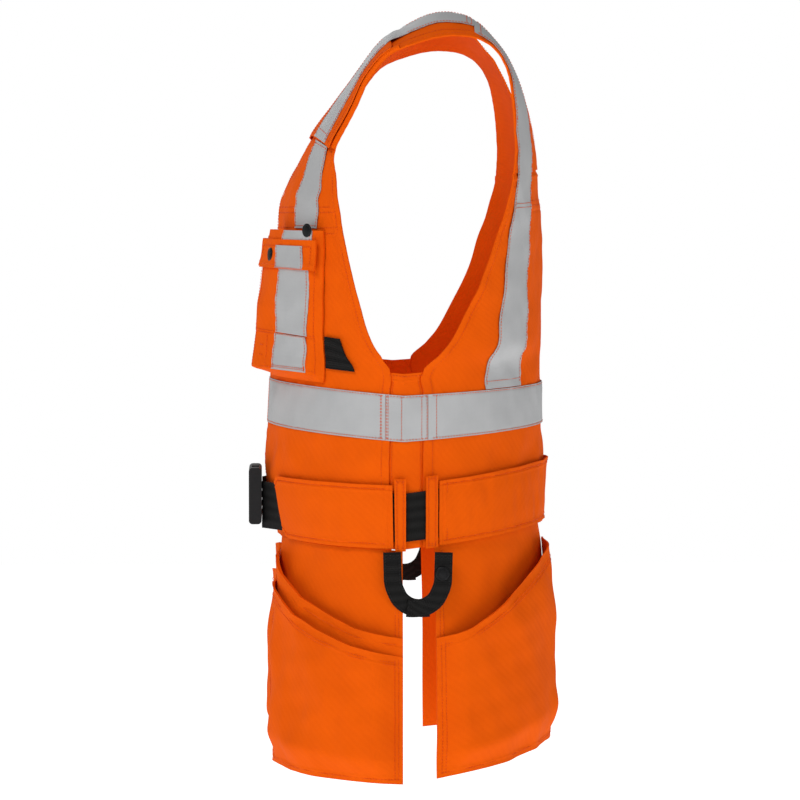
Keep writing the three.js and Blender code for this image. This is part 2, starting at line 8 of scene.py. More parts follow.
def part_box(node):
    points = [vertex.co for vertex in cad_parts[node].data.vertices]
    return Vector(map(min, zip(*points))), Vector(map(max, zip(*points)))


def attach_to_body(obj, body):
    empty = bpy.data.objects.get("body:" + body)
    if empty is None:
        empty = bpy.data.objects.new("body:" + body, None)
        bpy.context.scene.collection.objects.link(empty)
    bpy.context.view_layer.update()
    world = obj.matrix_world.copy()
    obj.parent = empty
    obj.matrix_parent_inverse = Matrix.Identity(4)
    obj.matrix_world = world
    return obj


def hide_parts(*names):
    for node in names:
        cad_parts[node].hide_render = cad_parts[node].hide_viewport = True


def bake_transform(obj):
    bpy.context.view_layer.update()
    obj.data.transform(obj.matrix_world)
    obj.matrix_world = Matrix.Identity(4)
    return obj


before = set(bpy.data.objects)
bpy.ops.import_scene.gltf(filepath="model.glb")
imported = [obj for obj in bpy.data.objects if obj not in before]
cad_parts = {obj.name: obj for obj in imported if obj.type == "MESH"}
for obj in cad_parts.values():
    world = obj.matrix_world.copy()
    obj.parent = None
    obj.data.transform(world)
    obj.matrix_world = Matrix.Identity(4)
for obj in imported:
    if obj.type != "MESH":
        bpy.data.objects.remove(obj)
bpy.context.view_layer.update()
print("frame loaded:", len(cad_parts), "nodes")

# shader writing


class Wire:  # a socket that Python arithmetic can be done on
    def __init__(self, paint, socket):
        self.paint, self.socket = paint, socket

    def math(self, kind, *values):
        return self.paint.node("ShaderNodeMath", {"operation": kind}, dict(enumerate(values)))

    def __add__(self, other):
        return self.math("ADD", self, other)

    def __radd__(self, other):
        return self.math("ADD", other, self)

    def __sub__(self, other):
        return self.math("SUBTRACT", self, other)

    def __mul__(self, other):
        return self.math("MULTIPLY", self, other)

    def __pow__(self, other):
        return self.math("POWER", self, other)


class Paint:  # one material being written
    def __init__(self, name):
        self.material = bpy.data.materials.new(name)
        self.material.use_nodes = True
        self.tree = self.material.node_tree
        self.shader = self.tree.nodes["Principled BSDF"]

    def node(self, kind, settings=None, values=None, out=0):
        made = self.tree.nodes.new(kind)
        for key, value in (settings or {}).items():
            setattr(made, key, value)
        for key, value in (values or {}).items():
            self.join(made.inputs[key], value)
        return Wire(self, made.outputs[out])

    def join(self, socket, value):
        if isinstance(value, Wire):
            self.tree.links.new(value.socket, socket)
        else:
            socket.default_value = value

    def mix(self, factor, a, b):
        made = self.tree.nodes.new("ShaderNodeMix")
        made.data_type = "RGBA"
        for index, value in ((0, factor), (6, a), (7, b)):
            if isinstance(value, tuple) and len(value) == 3:
                value = (*value, 1)
            self.join(made.inputs[index], value)
        return Wire(self, made.outputs[2])

    def place(self, kind="Object"):
        return self.node("ShaderNodeTexCoord", out=kind)

    def noise(self, where, scale, detail=3.0, rough=0.55):
        return self.node(
            "ShaderNodeTexNoise", None,
            {"Vector": where, "Scale": scale, "Detail": detail, "Roughness": rough})

    def wave(self, where, scale, direction="X", bend=0.0):
        return self.node(
            "ShaderNodeTexWave", {"bands_direction": direction, "wave_profile": "SIN"},
            {"Vector": where, "Scale": scale, "Distortion": bend, "Detail": 1.0})

    def bump(self, height, strength, distance):
        return self.node(
            "ShaderNodeBump", None,
            {"Strength": strength, "Distance": distance, "Height": height})

    def finish(self, **values):
        for key, value in values.items():
            self.join(self.shader.inputs[key.replace("_", " ")], value)
        return self.material


def clothFinish(name, look):
    paint = Paint(name)
    uv, where = paint.place("UV"), paint.place()
    across = paint.wave(uv, look["twill"], "DIAGONAL", 0.4)
    grain = paint.noise(where, 900, 2.0)
    blotch = paint.noise(where, 14, 4.0, 0.6)
    fade = paint.noise(where, 55, 3.0, 0.5)
    tone = paint.mix(blotch * 0.9 + fade * 0.35 - 0.15, look["deep"], look["light"])
    speck = paint.mix(grain * 0.5 + across * 0.18, tone, look["fleck"])
    height = across * 0.55 + grain * 0.5
    return paint.finish(
        Base_Color=paint.mix(0.28, tone, speck),
        Roughness=0.78 + fade * 0.12,
        Normal=paint.bump(height, 0.35, 0.0004),
        Specular_IOR_Level=0.06)


orangeLook = {
    "deep": (0.70, 0.080, 0.0006), "light": (0.86, 0.110, 0.0008), "fleck": (1.0, 0.16, 0.003),
    "twill": 70}
orangeCloth = clothFinish("orangeCloth", orangeLook)
bindingLook = {
    "deep": (0.70, 0.080, 0.001), "light": (0.84, 0.108, 0.0015), "fleck": (0.9, 0.14, 0.003),
    "twill": 55}
orangeBinding = clothFinish("orangeBinding", bindingLook)


def tapeFinish():
    paint = Paint("silverTape")
    uv, where = paint.place("UV"), paint.place()
    beads = paint.noise(where, 2600, 1.0)
    weave = paint.wave(uv, 60, "X") * 0.5 + paint.wave(uv, 60, "Y") * 0.5
    wear = paint.noise(where, 22, 4.0, 0.6)
    streak = paint.noise(where, 95, 2.0)
    tone = paint.mix(wear, (0.36, 0.365, 0.37), (0.47, 0.475, 0.48))
    return paint.finish(
        Base_Color=paint.mix(beads * 0.35, tone, (0.56, 0.565, 0.57)),
        Roughness=0.42 + streak * 0.2,
        Metallic=0.15,
        Normal=paint.bump(beads * 0.6 + weave * 0.4, 0.25, 0.00025))


def webbingFinish():
    paint = Paint("blackWebbing")
    uv, where = paint.place("UV"), paint.place()
    ribs = paint.wave(uv, 28, "Y", 0.3)
    yarn = paint.wave(uv, 90, "DIAGONAL", 0.5)
    dust = paint.noise(where, 120, 3.0)
    tone = paint.mix(ribs * 0.5 + dust * 0.5, (0.003, 0.003, 0.003), (0.014, 0.0135, 0.013))
    return paint.finish(
        Base_Color=tone, Roughness=0.62 + dust * 0.2,
        Normal=paint.bump(ribs * 0.5 + yarn * 0.5, 0.5, 0.0005), Specular_IOR_Level=0.12)


def plasticFinish():
    paint = Paint("blackPlastic")
    where = paint.place()
    grain = paint.noise(where, 1500, 2.0)
    scuff = paint.noise(where, 60, 4.0, 0.7)
    return paint.finish(
        Base_Color=paint.mix(scuff, (0.003, 0.003, 0.0033), (0.010, 0.010, 0.011)),
        Roughness=0.34 + scuff * 0.18,
        Normal=paint.bump(grain, 0.18, 0.0002), Specular_IOR_Level=0.3)


def metalFinish(name, dark, light, rough):
    paint = Paint(name)
    where = paint.place()
    scratch = paint.noise(where, 420, 3.0, 0.65)
    wear = paint.noise(where, 90, 4.0, 0.6)
    return paint.finish(
        Base_Color=paint.mix(wear ** 2.0, dark, light),
        Metallic=0.75, Roughness=rough + scratch * 0.2,
        Normal=paint.bump(scratch, 0.12, 0.0002))


def threadFinish(name, dark, light):
    paint = Paint(name)
    where = paint.place()
    twist = paint.noise(where, 1800, 2.0)
    return paint.finish(
        Base_Color=paint.mix(twist, dark, light), Roughness=0.6,
        Normal=paint.bump(twist, 0.3, 0.0002), Specular_IOR_Level=0.15)


silverTape = tapeFinish()
blackWebbing = webbingFinish()
blackPlastic = plasticFinish()
snapMetal = metalFinish("snapMetal", (0.006, 0.006, 0.0065), (0.03, 0.03, 0.032), 0.3)
stemMetal = metalFinish("stemMetal", (0.16, 0.16, 0.17), (0.34, 0.34, 0.35), 0.3)
orangeThread = threadFinish("orangeThread", (0.62, 0.07, 0.004), (0.80, 0.10, 0.006))
blackThread = threadFinish("blackThread", (0.008, 0.008, 0.008), (0.03, 0.03, 0.03))
print("finishes made")

# the vest's surface, in millimetres
side, armEdge, neckEdge, line = 190, 166, 88, -51


def zipLine(height):
    return -181 + 0.0528 * (height + 188)


rows = np.array([
    # x, y, z of the inner end; x, y, z of the outer end; degrees turned between them
    [0, -183, -541, side - 2, line, -545, 90],
    [0, zipLine(-472), -472, side - 1, line, -476, 90],
    [0, zipLine(-418), -418, side, line, -430, 90],
    [0, zipLine(-369), -369, side, line, -381, 90],
    [0, zipLine(-345), -345, side, line, -358, 90],
    [0, zipLine(-328), -328, side - 2, -72, -342, 82],
    [0, zipLine(-305), -305, side - 6, -87, -318, 76],
    [0, zipLine(-266), -266, side - 12, -101, -272, 70],
    [0, zipLine(-226), -226, side - 18, -110.5, -228, 65],
    [0, zipLine(-188), -188, side - 22, -116.5, -188, 61],
    [15, -176.5, -168, side - 25, -119.5, -171, 55],
    [36, -164, -145, armEdge - 4, -121.5, -150, 49],
    [62, -144, -106, armEdge - 8, -122, -122, 42],
    [78, -114.5, -66, armEdge - 6, -103.5, -85, 38],
    [neckEdge - 4, -90, -34, armEdge - 3, -85.5, -46, 36],
    [neckEdge - 2, -64, -2, armEdge - 1, -63.5, -20, 35],
    [neckEdge - 1, -34, 19, armEdge, -33.5, -7, 35],
    [neckEdge, -3, 27, armEdge, -5.5, -1, 35],
    [neckEdge, 25, 20, armEdge, 24.5, -3, 35],
    [neckEdge - 1, 47, -1, armEdge - 1, 44.5, -14, 36],
    [neckEdge - 4, 65, -26, armEdge - 2, 57.5, -34, 38],
    [78, 79.5, -58, armEdge - 4, 64.5, -66, 42],
    [58, 90, -92, armEdge - 6, 67.5, -98, 48],
    [25, 97, -122, armEdge - 4, 68.5, -128, 55],
    [0, 101, -140, armEdge - 1, 66.5, -146, 60],
    [0, 103, -172, side - 22, 60.5, -176, 62],
    [0, 105, -208, side - 18, 49.5, -210, 65],
    [0, 106, -246, side - 12, 36, -250, 70],
    [0, 107, -290, side - 7, 15, -295, 76],
    [0, 107, -323, side - 2, -9, -333, 84],
    [0, 107, -345, side, line, -358, 90],
    [0, 107, -373, side, line, -381, 90],
    [0, 106.5, -418, side, line, -430, 90],
    [0, 106, -457, side - 1, line, -476, 90],
    [0, 105, -525, side - 2, line, -545, 90],
], float)
lastRow = len(rows) - 1
underarm, neckPoint, strapStart, shoulderTop, backNeck = 4, 9, 12, 17, 24


def mixed(a, b, t):
    return a + (b - a) * t


def smooth(low, high, x):
    t = np.clip((np.asarray(x, float) - low) / (high - low), 0, 1)
    return t * t * (3 - 2 * t)


def together(a, b):
    return np.broadcast_arrays(np.asarray(a, float), np.asarray(b, float))


def rowAt(place):
    place = np.asarray(place, float)
    i = np.clip(np.floor(place).astype(int), 0, lastRow - 1)
    t = (place - i)[..., None]
    a, b = rows[i], rows[i + 1]
    before, after = rows[np.maximum(i - 1, 0)], rows[np.minimum(i + 2, lastRow)]
    startSlope = (b - before) / np.where(i > 0, 2, 1)[..., None]
    endSlope = (after - a) / np.where(i < lastRow - 1, 2, 1)[..., None]
    t2, t3 = t * t, t * t * t
    return ((2 * t3 - 3 * t2 + 1) * a + (t3 - 2 * t2 + t) * startSlope
            + (3 * t2 - 2 * t3) * b + (t3 - t2) * endSlope)


def bareVest(place, q):
    place, q = together(place, q)
    row = rowAt(place)
    turn = np.radians(row[..., 6])
    across = np.sin(turn * q) / np.sin(turn)
    back = (1 - np.cos(turn * q)) / (1 - np.cos(turn))
    share = np.stack([across, back, back], -1)
    return row[..., 0:3] + (row[..., 3:6] - row[..., 0:3]) * share


def facing(point, a, b, stepA, stepB):
    alongA = point(a + stepA, b) - point(a - stepA, b)
    alongB = point(a, b + stepB) - point(a, b - stepB)
    normal = np.cross(alongA, alongB)
    normal /= np.maximum(np.linalg.norm(normal, axis=-1, keepdims=True), 1e-9)
    here = point(a, b)
    up = np.where(here[..., 2] > -60, here[..., 2] + 90, 0)
    away = np.stack([here[..., 0], here[..., 1] - line, up], -1)
    flip = np.where((normal * away).sum(-1) < 0, -1.0, 1.0)
    return here, normal * flip[..., None]


def waves(points, seed, size, count=7):
    draw = np.random.default_rng(seed)
    total = np.zeros(points.shape[:-1])
    for _ in range(count):
        way = draw.normal(size=3)
        way *= 2 * math.pi / (size * draw.uniform(0.7, 1.5)) / np.linalg.norm(way)
        total += np.sin(points @ way + draw.uniform(0, 6.28))
    return total / math.sqrt(count)


drape = {"wide": 1.5, "fine": 0.5, "waist": 1.6, "skirt": 3.2, "quiet": 45}
hand = 1.0  # 1 while the wearer's left side is made, -1 for the right


def slack(p):  # one soft unevenness that every layer of cloth shares
    spot = p * np.array([hand, 1, 1])
    x, y, z = p[..., 0], p[..., 1], p[..., 2]
    front = smooth(-100, -140, y)
    calm = 1 - front * (1 - smooth(14, drape["quiet"], np.abs(x)))
    held = 1 - 0.75 * smooth(40, 18, np.abs(z + 403)) - 0.55 * smooth(50, 28, np.abs(z + 508))
    strap = 1 - 0.6 * smooth(-150, -100, z)
    folds = drape["wide"] * waves(spot, 11, 105) + drape["fine"] * waves(spot, 12, 38)
    puff = drape["waist"] * waves(spot * np.array([1, 1, 0.25]), 13, 60) * np.exp(-((z + 452) / 14) ** 2)
    low = smooth(-548, -640, z)
    tilt = spot[..., 0] * 0.5 + spot[..., 1] * 0.7 + spot[..., 2] * 0.55
    hang = drape["skirt"] * low * (
        0.7 * waves(np.stack([spot[..., 0], spot[..., 1], spot[..., 2] * 0.35], -1), 21, 120)
        + 0.35 * np.sin(tilt / 13.0 + waves(spot, 22, 90)))
    return calm * (held * strap * (1 - low) * folds + puff + hang)


def onVest(place, q, lift):  # q is 0 at the middle and 1 or -1 at the side line or the arm edge
    sign = np.where(np.asarray(q) < 0, -1.0, 1.0)
    inside = np.clip(np.asarray(place, float), 0.02, lastRow - 0.02)
    _, normal = facing(bareVest, inside, np.abs(q), 0.01, 0.004)
    here = bareVest(place, np.abs(q))
    flip = np.stack([sign, np.ones_like(sign), np.ones_like(sign)], -1)
    here, normal = here * flip, normal * flip
    return here + normal * (lift + slack(here))[..., None]


def roundWaist(height, t, lift):  # t runs from -1 at the front through 0 at the side to 1 at the back
    t = np.asarray(t, float)
    height = np.broadcast_to(np.asarray(height, float), t.shape)
    return onVest(np.where(t < 0, height, lastRow - height), np.where(t < 0, 1 + t, 1 - t), lift)


def frontPlace(height):
    places = np.linspace(0, shoulderTop, 3401)
    return float(np.interp(height, rowAt(places)[:, 2], places))


def qAtX(place, x):
    row = rowAt(place)
    turn = np.radians(row[..., 6])
    share = np.clip((x - row[..., 0]) / (row[..., 3] - row[..., 0]), 0, 1)
    return np.arcsin(share * np.sin(turn)) / turn


holsterLength, holsterFlare = 249, 12


def bareSkirt(v, t):
    v, t = together(v, t)
    place = np.where(t < 0, 0.0, float(lastRow))
    hem = bareVest(place, np.where(t < 0, 1 + t, 1 - t))
    flare = holsterFlare * np.sin(np.minimum(v * 1.35, 1.3)) / math.sin(1.3)
    out = np.stack([hem[..., 0], hem[..., 1] - line, np.zeros_like(v)], -1)
    out /= np.linalg.norm(out, axis=-1, keepdims=True)
    length = np.where(t < 0, holsterLength, holsterLength - 10 * t)
    point = hem + out * flare[..., None]
    point[..., 2] = hem[..., 2] - v * length
    return point


def onSkirt(v, t, lift):
    here, normal = facing(bareSkirt, np.asarray(v, float), np.asarray(t, float), 0.01, 0.01)
    return here + normal * (lift + slack(here))[..., None]


print("surface ready")


def attach(piece, body):
    if "holster" in body:  # the cloth bends below the hem
        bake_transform(piece)
    else:
        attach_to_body(piece, body)


def meshPiece(name, points, faces, material, body, uv=None, crease=40):
    mesh = bpy.data.meshes.new(name)
    mesh.from_pydata((np.asarray(points) * 0.001).tolist(), [], faces)
    piece = bpy.data.objects.new(name, mesh)
    bpy.context.scene.collection.objects.link(piece)
    if uv is not None:
        layer = mesh.uv_layers.new(name="UVMap")
        corner = np.zeros(len(mesh.loops), int)
        mesh.loops.foreach_get("vertex_index", corner)
        layer.data.foreach_set("uv", uv[corner].astype(np.float32).ravel())
    mesh.materials.append(material)
    bpy.ops.object.select_all(action="DESELECT")
    bpy.context.view_layer.objects.active = piece
    piece.select_set(True)
    bpy.ops.object.shade_smooth_by_angle(angle=math.radians(crease))
    piece.select_set(False)
    attach(piece, body)
    return piece


def outwardFaces(points, faces):
    a, b, c = (points[faces[:, k]] for k in (0, 1, 2))
    volume = (a * np.cross(b, c)).sum()
    if faces.shape[1] == 4:
        d = points[faces[:, 3]]
        volume += (a * np.cross(c, d)).sum()
    return faces if volume > 0 else faces[:, ::-1]


def stepsAlong(length, cell, lines):
    places = list(np.linspace(0, length, max(2, int(round(length / cell))) + 1))
    for spot in lines:
        spot = spot if spot >= 0 else length + spot
        places += [spot + d for d in (-2.2, -1.1, -0.45, 0.45, 1.1, 2.2)]
    places = np.unique(np.clip(np.round(places, 3), 0, length))
    keep = [0.0]
    for p in places[1:]:
        if p - keep[-1] > min(0.4, 0.8 * cell):
            keep.append(p)
    keep[-1] = length
    return np.array(keep) / length


def laidOut(pointMap, axis, cell, lines):
    fine, half = np.linspace(0, 1, 161), np.full(161, 0.5)
    path = pointMap(fine, half, 0.0) if axis == 0 else pointMap(half, fine, 0.0)
    lengths = np.concatenate([[0], np.cumsum(np.linalg.norm(np.diff(path, axis=0), axis=1))])
    return np.interp(stepsAlong(lengths[-1], cell, lines) * lengths[-1], lengths, fine)


def runAlong(points, axis):
    step = np.linalg.norm(np.diff(points, axis=axis), axis=-1)
    return np.insert(np.cumsum(step, axis=axis), 0, 0, axis=axis)


class Spot:  # where each grid point of a sheet is, with its distances to the four edges
    def __init__(self, u, v, points):
        self.u, self.v, self.p = u, v, points
        self.left, self.bottom = runAlong(points, 0), runAlong(points, 1)
        self.right = self.left[-1:, :] - self.left
        self.top = self.bottom[:, -1:] - self.bottom


def cloth(name, body, nodes, pointMap, cell=3.2, material=None, low=0.0, thick=1.4, shape=None,
          uLines=(), vLines=()):
    cellU, cellV = cell if isinstance(cell, tuple) else (cell, cell)
    us, vs = laidOut(pointMap, 0, cellU, uLines), laidOut(pointMap, 1, cellV, vLines)
    u, v = np.meshgrid(us, vs, indexing="ij")
    spot = Spot(u, v, pointMap(u, v, np.zeros_like(u)))
    base = low(spot) if callable(low) else low + np.zeros_like(u)
    rise = shape(spot) if shape else np.zeros_like(u)
    top, under = pointMap(u, v, base + thick + rise), pointMap(u, v, base + 0.4 * rise)
    points = np.concatenate([top.reshape(-1, 3), under.reshape(-1, 3)])
    points = points * np.array([hand, 1, 1])
    m, n = len(us), len(vs)
    index = np.arange(m * n).reshape(m, n)
    quad = np.stack([index[:-1, :-1], index[1:, :-1], index[1:, 1:], index[:-1, 1:]], -1).reshape(-1, 4)
    ring = np.concatenate([index[:, 0], index[-1, 1:], index[-2::-1, -1], index[0, -2::-1]])
    ring = ring[:-1] if ring[0] == ring[-1] else ring
    after = np.roll(ring, -1)
    rim = np.stack([ring, ring + m * n, after + m * n, after], -1)
    faces = outwardFaces(points, np.concatenate([quad, quad[:, ::-1] + m * n, rim]))
    uv = np.stack([spot.left, spot.bottom], -1).reshape(-1, 2) * 0.001
    piece = meshPiece(name, points, faces.tolist(), material or orangeCloth, body,
                      np.concatenate([uv, uv]))
    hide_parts(*nodes)
    corner = spot.p
    cross = np.cross(corner[1:, 1:] - corner[:-1, :-1], corner[1:, :-1] - corner[:-1, 1:])
    return piece


threads = {}  # (body, hand) to runs of stitches
stitchSize = {"pitch": 3.3, "length": 2.5, "radius": 0.32, "proud": 0.2}


def sew(body, pointMap, us, vs, lift, kind="orange"):
    us, vs = together(us, vs)
    fine = np.linspace(0, 1, 400)
    place = np.linspace(0, 1, len(us))
    u, v = np.interp(fine, place, us), np.interp(fine, place, vs)
    path = pointMap(u, v, lift) * np.array([hand, 1, 1])
    out = pointMap(u, v, lift + 1.0) * np.array([hand, 1, 1]) - path
    lengths = np.insert(np.cumsum(np.linalg.norm(np.diff(path, axis=0), axis=1)), 0, 0)
    count = int(lengths[-1] / stitchSize["pitch"])
    if count < 1:
        return
    middles = (np.arange(count) + 0.5) / count * lengths[-1]
    half = stitchSize["length"] / 2

    def at(s):
        return np.stack([np.interp(s, lengths, path[:, k]) for k in range(3)], -1)

    out = np.stack([np.interp(middles, lengths, out[:, k]) for k in range(3)], -1)
    threads.setdefault((body, kind), []).append((at(middles - half), at(middles + half), out))


def sewUp(body, pointMap, us, span, lift, kind="orange"):  # one run of stitches at each u
    for u in us:
        sew(body, pointMap, u, span, lift, kind)


def sewAcross(body, pointMap, span, vs, lift, kind="orange"):  # one run of stitches at each v
    for v in vs:
        sew(body, pointMap, span, v, lift, kind)


def sewingDone():
    sides = np.arange(5) * 2 * math.pi / 5
    for (body, kind), runs in threads.items():
        a, b, out = (np.concatenate([run[k] for run in runs]) for k in range(3))
        out /= np.linalg.norm(out, axis=1, keepdims=True)
        along = b - a
        along /= np.linalg.norm(along, axis=1, keepdims=True)
        across = np.cross(along, out)
        r = stitchSize["radius"]
        rings = []
        for share in (0.14, 0.86):
            middle = a + (b - a) * share + out * (stitchSize["proud"] * 0.6)
            for turn in sides:
                rings.append(middle + r * (math.cos(turn) * across + math.sin(turn) * out))
        ends = [a - out * 0.25, b - out * 0.25]
        points = np.stack(ends[:1] + rings + ends[1:], 1)
        faces = []
        for k in range(5):
            n = (k + 1) % 5
            faces += [(1 + k, 1 + n, 6 + n, 6 + k), (0, 1 + n, 1 + k), (11, 6 + k, 6 + n)]
        every = [tuple(i + 12 * s for i in face) for s in range(len(points)) for face in faces]
        colour = orangeThread if kind == "orange" else blackThread
        meshPiece(f"stitching_{kind}_{body}", points.reshape(-1, 3), every, colour, body, crease=80)


def hem(d, width, rise=0.55, groove=0.4):
    roll = 1 - smooth(width - 0.6, width + 1.2, d)
    return rise * roll - groove * np.exp(-((d - width + 2.6) / 0.9) ** 2)


def pucker(d, along, seed=0.0, amount=0.3, reach=8.0):
    return amount * np.exp(-d / reach) * np.sin(along / 1.8 + 2.2 * np.sin(along / 14 + seed) + seed)


def patch(start, end, inner, outer):
    def point(u, v, lift):
        place = mixed(start, end, v)
        return onVest(place, mixed(inner(place), outer(place), u), lift)
    return point


def centred(start, end, outer):
    def point(u, v, lift):
        place = mixed(start, end, v)
        return onVest(place, outer(place) * (2 * np.asarray(u) - 1), lift)
    return point


onCloth, seamGap = 2.3, 0.35
strapEndStart, strapEndEnd = 12.012, 15.0
sideSeamFront, sideSeamBack = 0.934, 0.916


def armholeFront(place):
    return np.clip(mixed(sideSeamFront, 1, (place - underarm) / 1.1), sideSeamFront, 1)


def armholeBack(place):
    return np.clip(mixed(sideSeamBack, 1, (lastRow - underarm - place) / 1.0), sideSeamBack, 1)


def both(name):
    return f"{name}_{'left' if hand > 0 else 'right'}"


def constant(value):
    return lambda place: value + 0 * place


def atX(x):
    return lambda place: qAtX(place, x)


# panels
panels = {"hem": 9, "binding": 11, "thick": 1.5, "lap": 0.05, "sideLap": 0.009, "yokeSeam": 46}


def makePanels():
    front = patch(0, strapStart + panels["lap"], atX(6), armholeFront)

    def frontShape(s):
        neck = hem(s.left, panels["hem"]) + pucker(s.left, s.bottom, 1.0)
        arm = hem(s.right, panels["binding"], 0.7) + pucker(s.right, s.bottom, 2.0)
        return neck + arm + 0.35 * waves(s.p, 31, 26) - 1.6 * smooth(7, 2, s.top)

    cloth(both("front_panel_cloth"), "vest", [both("front_panel")], front, shape=frontShape,
          uLines=(9, -11))
    sewUp("vest", front, (0.022, 0.962), (0.02, 0.99), panels["thick"] + 0.6)
    for height in (-181, -187, -203, -209):
        v = frontPlace(height) / (strapStart + panels["lap"])
        sew("vest", front, (0.03, 0.95), v, panels["thick"] + 0.2)

    flank = sideSeamFront - 1 - panels["sideLap"], 1 - sideSeamBack + panels["sideLap"]

    def sidePoint(u, v, lift):
        return roundWaist(mixed(0, underarm, v), mixed(*flank, u), lift)

    cloth(both("side_panel_cloth"), "vest", [both("side_panel")], sidePoint,
          low=lambda s: -1.3 * smooth(4.5, 2.4, np.minimum(s.left, s.right)),
          shape=lambda s: hem(s.top, 9, 0.7),
          uLines=(2, -2), vLines=(-9,))
    sewUp("vest", sidePoint, (0.04, 0.12, 0.88, 0.96), (0.01, 0.97), panels["thick"] + 0.15)
    sew("vest", sidePoint, (0.0, 1.0), 0.965, panels["thick"] + 0.75)

    strap = patch(strapStart, backNeck - 0.012, atX(seamGap), constant(1.0))
    cloth(both("yoke_cloth"), "vest", [both("yoke")], strap,
          shape=lambda s: hem(s.left, 9, 0.6) + hem(s.right, 11, 0.7) + pucker(s.right, s.bottom, 5.0)
          + 0.3 * waves(s.p, 33, 24),
          uLines=(9, -11))
    sewUp("vest", strap, (0.05, 0.86, 0.95), (0.01, 0.99), panels["thick"] + 0.6)


def makeBack():
    back = centred(backNeck - 0.08, lastRow, armholeBack)

    def shape(s):
        arms = hem(s.left, panels["binding"], 0.7) + hem(s.right, panels["binding"], 0.7)
        neck = hem(s.bottom, panels["hem"], 0.6) - 2.0 * smooth(7, 3, s.bottom)
        yokeSeam = -0.5 * np.exp(-((s.bottom - panels["yokeSeam"]) / 1.2) ** 2)
        return arms + neck + yokeSeam + 0.35 * waves(s.p, 35, 30)

    cloth("back_panel_cloth", "vest", ["back_panel"], back, cell=3.4, shape=shape,
          uLines=(11, -11), vLines=(9, panels["yokeSeam"]))
    sewAcross("vest", back, (0.04, 0.96), (0.11, 0.125), panels["thick"] + 0.2)
    sewUp("vest", back, (0.022, 0.978), (0.03, 0.99), panels["thick"] + 0.6)


# the adjustable strap end, folded back on itself
strapEnd = {"thick": 1.1, "flat": 0.72, "bend": 0.06, "under": 0.9, "rise": 2.2, "rearRise": 3.4,
            "bulge": 0.12, "foldRise": 3.2, "foldReach": 0.044}


def makeStrapEnd():
    def foldedPoint(u, v, lift):
        turned = strapEnd["flat"] + strapEnd["bend"]
        out = np.clip(v / strapEnd["flat"], 0, 1)
        back = np.clip((v - turned) / (1 - turned), 0, 1)
        bend = np.clip((v - strapEnd["flat"]) / strapEnd["bend"], 0, 1)
        place = mixed(strapEndStart, strapEndEnd, out) - back * strapEnd["under"]
        place = place + strapEnd["bulge"] * np.sin(bend * math.pi)
        height = onCloth + mixed(strapEnd["rise"], 0.0, smooth(0, 1, bend))
        flip = np.where(bend > 0.5, -1.0, 1.0)
        rear = strapEnd["rearRise"] * smooth(0.82, 1.0, u) * (1 - 0.6 * out)
        under = strapEnd["thick"] * (1 - flip) / 2
        return onVest(place, mixed(0.02, 0.985, u), height + rear + lift * flip + under)

    cloth(both("strap_end_cloth"), "vest", [both("strap_end")], foldedPoint, cell=2.6,
          thick=strapEnd["thick"],
          shape=lambda s: 0.3 * np.exp(-s.left / 4) + pucker(s.right, s.bottom, 6.0, 0.25))
    sewUp("vest", foldedPoint, (0.04, 0.93), (0.01, 0.68), 1.35)
    sew("vest", foldedPoint, (0.05, 0.93), 0.03, 1.3)

    def edgeFold(u, v, lift):  # the doubled rear edge that stands up beside the strap
        turn = mixed(-0.5, math.pi + 0.5, u)
        place = mixed(strapEndStart + 0.05, strapEndEnd + 0.35, v)
        q = mixed(0.985, 0.965, v) + strapEnd["foldReach"] * np.cos(turn)
        return onVest(place, q, 1.6 + strapEnd["foldRise"] * np.sin(np.clip(turn, 0, math.pi)) + lift)

    cloth(both("strap_fold"), "vest", [], edgeFold, cell=2.2, thick=1.0)


# reflective tape
tapes = {"thick": 0.7, "width": 42, "inner": 100, "backInner": 110, "backOuter": 158, "step": 3.0,
         "stitch": onCloth + 0.9, "raised": 0.7}


def tapeEdges(s):
    sideEdge = np.minimum(s.left, s.right)
    return (-0.35 * np.exp(-((sideEdge - 2.0) / 0.7) ** 2) + pucker(sideEdge, s.bottom, 7.0, 0.35, 5.0)
            + 0.2 * waves(s.p, 41, 22))


def waved(edge, seed, amount=1.1):
    return lambda place: qAtX(place, edge + amount * np.sin(np.asarray(place) * 5.1 + seed))


def tape(name, node, point, low=onCloth, ends=True, body="vest"):
    cloth(name, body, [node] if node else [], point, cell=3.0, material=silverTape, low=low,
          thick=tapes["thick"], shape=tapeEdges, uLines=(2, -2))
    if callable(low):
        return
    lift = tapes["thick"] + 0.1
    sewUp(body, point, (0.04, 0.96), (0.01, 0.99), low + lift)
    sewAcross(body, point, (0.02, 0.98), (0.02, 0.98) if ends else (), low + lift)


